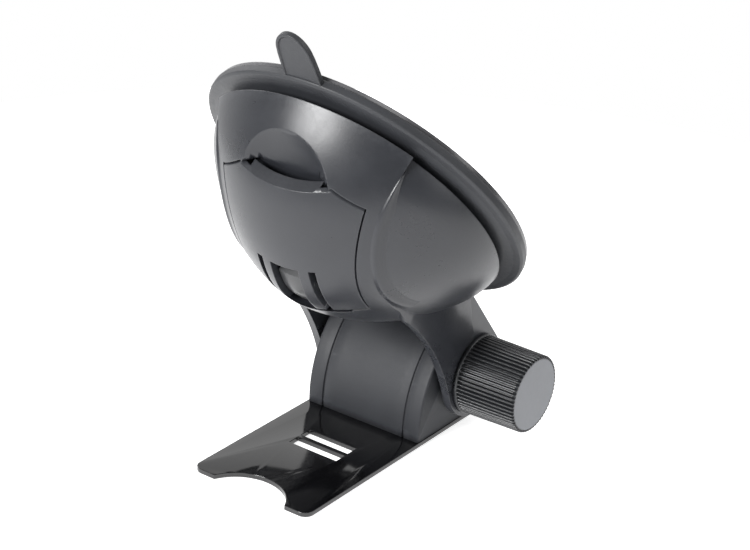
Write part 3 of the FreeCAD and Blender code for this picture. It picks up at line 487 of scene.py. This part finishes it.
def bead_route():
    """The bead's line in plan: from the rim, round the side of the lever, down to the arm."""
    line = []
    for y in np.linspace(BEAD_TOP, BEAD_BOTTOM, BEAD_STEPS):
        rise = (y - BEAD_NEAREST_Y) / (BEAD_RIM_Y - BEAD_NEAREST_Y)
        if rise > 0:
            aside = (BEAD_RIM - BEAD_NEAREST) * rise ** BEAD_FLARE_POWER
        else:
            aside = BEAD_HOOK * rise ** 2
        line.append((BEAD_NEAREST + aside, y))
    return np.array(line)


def build_bead(side):
    """The soft ridge between the front panel and a cheek. It fades out at both ends and
    narrows at the rim."""
    route = bead_route()
    steps = np.gradient(route, axis=0)
    steps /= np.linalg.norm(steps, axis=1, keepdims=True)
    across = np.column_stack([-steps[:, 1], steps[:, 0]])
    layers = []
    for i, (place, aside) in enumerate(zip(route, across)):
        fade = min(1.0, 0.3 + i / 9, 0.1 + (len(route) - 1 - i) / 14)
        narrow = min(1.0, 0.12 + i / 10)
        ring = []
        for out, rise in BEAD_PROFILE:
            x, y = place + aside * out * narrow
            lift = rise * fade if rise > 0 else rise
            ring.append((side * x, y, on_dome(x, y, lift)))
        layers.append(ring)
    points, faces = stack(layers)
    name = "bead_right" if side > 0 else "bead_left"
    piece = make(name, points, faces, "head", "shell_plastic", in_head=True)
    piece.data.set_sharp_from_angle(angle=BEAD_SHARP_ANGLE)


def build_lever():
    round_dome_normals(from_cad("lever", "lock_lever", "lever", "lever_plastic"))


def build_stem():
    round_dome_normals(from_cad("stem", "cup_stem", "cup", "stem_plastic"))


# ---------------------------------------------------------------- cup

# The cup in section, as (radius, height over the glass): face, rim, back and hub.
CUP_CORNERS = [(0.0, CUP_FACE), (42.7, CUP_FACE), (CUP_RADIUS, 1.3), (CUP_RADIUS, 2.9),
               (42.4, 3.4), (40.8, 3.62), (34.0, 5.45), (18.0, 5.6), (16.0, 6.6),
               (15.4, 8.2), (10.0, 8.2), (10.0, 6.05), (0.0, 6.05)]
CUP_ROUND = 0.45
TAB_ROOT = (42.8, 1.3)
TAB_ASIDE = 1.1
TAB_BURIED = 3.0
TAB_TAPER = 0.10
TAB_MIDDLE = np.array([0.0, 5.0])
TAB_LIP, TAB_ROUND = 0.3, 0.28


def build_cup():
    points, faces = lathe(rounded(CUP_CORNERS, CUP_ROUND), 256)
    make("cup", points, faces, "cup", "cup_rubber", ["suction_cup"], in_head=True)


def tab_outline():
    """The pull tab seen square on, from its root at y 0: straight sides and a round end."""
    turns = np.linspace(0, math.pi, 33)
    shoulder = TAB_LENGTH - TAB_HALF
    tip = np.column_stack([TAB_HALF * 0.98 * np.cos(turns), shoulder + TAB_HALF * np.sin(turns)])
    right = [(TAB_HALF, y) for y in np.linspace(-TAB_BURIED, shoulder - 1.0, 9)]
    left = [(-x, y) for x, y in reversed(right)]
    outline = np.array(right + [tuple(p) for p in tip] + left)
    outline[:, 0] *= 1 - TAB_TAPER * smoothstep(outline[:, 1], 1.0, TAB_LENGTH)
    return outline


def build_tab():
    """The pull tab at the top of the cup's rim, with a raised lip round its face."""
    outline = tab_outline()
    away = outline - TAB_MIDDLE
    reach = np.linalg.norm(away, axis=1, keepdims=True)
    c, s = math.cos(TAB_LEAN), math.sin(TAB_LEAN)
    face = TAB_THICKNESS - TAB_LIP
    section = rounded([(1.2, 0.0), (0.0, 0.0), (0.0, TAB_THICKNESS), (0.75, TAB_THICKNESS),
                       (0.95, face), (2.0, face)], TAB_ROUND)
    layers = []
    for inset, height in section:
        x, y = (TAB_MIDDLE + away * (1 - inset / reach)).T
        layers.append(np.column_stack([x + TAB_ASIDE * (1 - y / TAB_LENGTH),
                                       y * c + height * s + TAB_ROOT[0],
                                       height * c - y * s + TAB_ROOT[1]]))
    points, faces = stack(layers)
    make("tab", points, faces, "cup", "cup_rubber", in_head=True)


# ---------------------------------------------------------------- knob

FLUTE_POINTS = 14
FLUTE_WIDTH = 0.28


def build_knob():
    """The knob's body: a bored inner end, a plain lip, and flutes that run out at the end."""
    count = FLUTES * FLUTE_POINTS
    turns = np.arange(count) * 2 * math.pi / count
    wave = (turns * FLUTES / (2 * math.pi)) % 1.0
    groove = np.exp(-((wave - 0.5) / FLUTE_WIDTH) ** 6)
    length = KNOB_END - KNOB_START

    # Each ring is (distance from the inner end, radius, depth of its flutes).
    rings = [(1.6, KNOB_BORE, 0), (0, KNOB_BORE, 0), (0, KNOB_LIP - 0.3, 0),
             (0.12, KNOB_LIP - 0.07, 0), (0.3, KNOB_LIP, 0), (0.7, KNOB_LIP, 0),
             (0.86, KNOB_LIP - 0.07, 0), (0.92, KNOB_ROOT + 0.02, 0),
             (1.0, KNOB_ROOT - 0.02, FLUTE_DEPTH / 2), (1.15, KNOB_ROOT, FLUTE_DEPTH)]
    for along in np.linspace(2.0, length - 0.7, 8):
        taper = (KNOB_TIP - KNOB_ROOT) * along / length
        rings.append((along, KNOB_ROOT + taper, FLUTE_DEPTH))
    rings += [(length - 0.4, KNOB_TIP, FLUTE_DEPTH),
              (length - 0.2, KNOB_TIP - 0.1, FLUTE_DEPTH * 0.8),
              (length - 0.05, KNOB_TIP - 0.28, FLUTE_DEPTH * 0.55),
              (length, KNOB_TIP - 0.4, FLUTE_DEPTH * 0.4), (length, KNOB_RIM, 0),
              (length - 0.1, KNOB_RIM - 0.05, 0), (length - 1.0, KNOB_RIM - 0.07, 0)]
    layers = []
    for along, radius, depth in rings:
        r = radius - depth * groove
        layers.append(np.column_stack([np.full(count, KNOB_START + along),
                                       PIVOT[1] + r * np.cos(turns),
                                       PIVOT[2] + r * np.sin(turns)]))
    points, faces = stack(layers)
    make("knob", points, faces, "knob", "knob_plastic", ["knob_body"])


def build_knob_face():
    """The smooth disc let into the knob's outer end."""
    bottom = KNOB_END - 1.1
    profile = rounded([(0.0, bottom), (CAP_RADIUS, bottom), (CAP_RADIUS, KNOB_END - 0.02),
                       (CAP_RADIUS - 0.65, KNOB_END), (0.0, KNOB_END)], 0.22)
    points, faces = lathe(profile, 128)
    turned = np.column_stack([points[:, 2], PIVOT[1] + points[:, 0], PIVOT[2] + points[:, 1]])
    make("knob_face", turned, faces, "knob", "cap_plastic", ["knob_cap"])


def paint_cad_nodes():
    """The CAD nodes that no piece replaces keep their shape and get their finish."""
    slots = {row["node"]: row["material_slot"] for row in frame["record"]["subparts"]}
    for name, node in frame["nodes"].items():
        if not node.hide_render:
            paint(node, slots[name])


# ---------------------------------------------------------------- stage, in metres

# Each soft light: its direction as azimuth and elevation, its side and its power. Azimuth 0
# is the plate's notched end, and positive turns towards the knob.
SOFTBOXES = {
    "key": (-16.0, 22.0, 0.45, 17.0),
    "camera_side": (30.0, 42.0, 0.45, 1.5),
    "left": (-95.0, 30.0, 0.4, 2.5),
    "right_back": (120.0, 40.0, 0.5, 3.0),
    "right": (84.0, 10.0, 0.4, 1.0),
}
LIGHT_DISTANCE = 1.1
LIT_POINT = Vector((0.0, 0.0, 0.05))
BACKDROP_AZIMUTH = 215.0
BACKDROP_STRENGTH = 1.05
ROOM_STRENGTH = 0.22
WHITE = (1.0, 1.0, 1.0, 1.0)
PAPER = (0.9, 0.9, 0.905, 1.0)
FLOOR_GLOW = 0.75
FLOOR_RADIUS = 0.26
FLOOR_SIDES = 96
FLOOR_GAP = 0.0002

CAMERA_ANGLES = (35.14, 24.53, 2.97)
CAMERA_TARGET = Vector((-0.01262, 0.02579, 0.03120))
CAMERA_DISTANCE = 0.53692
LENS, SENSOR_WIDTH = 100.0, 36.0


def direction(azimuth, elevation):
    """The unit vector towards an azimuth and elevation in radians."""
    return Vector((math.sin(azimuth) * math.cos(elevation),
                   -math.cos(azimuth) * math.cos(elevation), math.sin(elevation)))


def softbox(name, azimuth, elevation, side, power):
    lamp = bpy.data.lights.new(name, "AREA")
    lamp.shape = "SQUARE"
    lamp.size = side
    lamp.energy = power
    away = direction(math.radians(azimuth), math.radians(elevation))
    lamp_object = bpy.data.objects.new(name, lamp)
    lamp_object.location = away * LIGHT_DISTANCE + LIT_POINT
    lamp_object.rotation_mode = "QUATERNION"
    lamp_object.rotation_quaternion = (-away).to_track_quat("-Z", "Y")
    bpy.context.scene.collection.objects.link(lamp_object)


def build_floor():
    turns = [2 * math.pi * k / FLOOR_SIDES for k in range(FLOOR_SIDES)]
    mesh = bpy.data.meshes.new("floor")
    mesh.from_pydata([(FLOOR_RADIUS * math.cos(a), FLOOR_RADIUS * math.sin(a), 0)
                      for a in turns], [], [range(FLOOR_SIDES)])
    floor = bpy.data.objects.new("floor", mesh)
    bpy.context.scene.collection.objects.link(floor)
    floor.location.z = -FLOOR_GAP
    material = bpy.data.materials.new("floor_paper")
    material.use_nodes = True
    shader = material.node_tree.nodes["Principled BSDF"]
    shader.inputs["Base Color"].default_value = PAPER
    shader.inputs["Roughness"].default_value = 0.9
    shader.inputs["Specular IOR Level"].default_value = 0.1
    shader.inputs["Emission Color"].default_value = WHITE
    shader.inputs["Emission Strength"].default_value = FLOOR_GLOW
    mesh.materials.append(material)


def build_backdrop():
    """A white background, and a room that is brighter on one side for everything it lights."""
    world = bpy.data.worlds.new("studio")
    bpy.context.scene.world = world
    world.use_nodes = True
    tree = world.node_tree
    shown, lit = tree.nodes["Background"], tree.nodes.new("ShaderNodeBackground")
    shown.inputs["Color"].default_value = WHITE
    shown.inputs["Strength"].default_value = 1.0
    lit.inputs["Color"].default_value = WHITE
    facing = tree.nodes.new("ShaderNodeVectorMath")
    facing.operation = "DOT_PRODUCT"
    facing.inputs[1].default_value = direction(math.radians(BACKDROP_AZIMUTH), 0.0)
    tree.links.new(tree.nodes.new("ShaderNodeTexCoord").outputs["Generated"], facing.inputs[0])
    strength = remap(tree, facing.outputs["Value"], -0.1, 0.6, ROOM_STRENGTH, BACKDROP_STRENGTH)
    tree.links.new(strength, lit.inputs["Strength"])
    path, choice = tree.nodes.new("ShaderNodeLightPath"), tree.nodes.new("ShaderNodeMixShader")
    tree.links.new(path.outputs["Is Camera Ray"], choice.inputs[0])
    tree.links.new(lit.outputs["Background"], choice.inputs[1])
    tree.links.new(shown.outputs["Background"], choice.inputs[2])
    tree.links.new(choice.outputs["Shader"], tree.nodes["World Output"].inputs["Surface"])


def build_camera():
    """The photo's viewing angle: azimuth, elevation and roll round a point of the mount."""
    azimuth, elevation, roll = (math.radians(a) for a in CAMERA_ANGLES)
    back = direction(azimuth, elevation)
    right = Vector((math.cos(azimuth), math.sin(azimuth), 0.0))
    up = back.cross(right)
    rolled_right = right * math.cos(roll) + up * math.sin(roll)
    rolled_up = up * math.cos(roll) - right * math.sin(roll)
    data = bpy.data.cameras.new("camera")
    data.lens, data.sensor_width = LENS, SENSOR_WIDTH
    data.clip_start, data.clip_end = 0.01, 20.0
    camera = bpy.data.objects.new("camera", data)
    axes = Matrix((rolled_right, rolled_up, back)).transposed().to_4x4()
    camera.matrix_world = Matrix.Translation(CAMERA_TARGET + back * CAMERA_DISTANCE) @ axes
    bpy.context.scene.collection.objects.link(camera)
    bpy.context.scene.camera = camera
    bpy.context.scene.view_settings.view_transform = "Standard"


build_plate()
build_block()
build_housing()
build_bead(1)
build_bead(-1)
build_lever()
build_stem()
build_cup()
build_tab()
build_knob()
build_knob_face()
paint_cad_nodes()
build_floor()
build_backdrop()
for box, settings in SOFTBOXES.items():
    softbox(box, *settings)
build_camera()
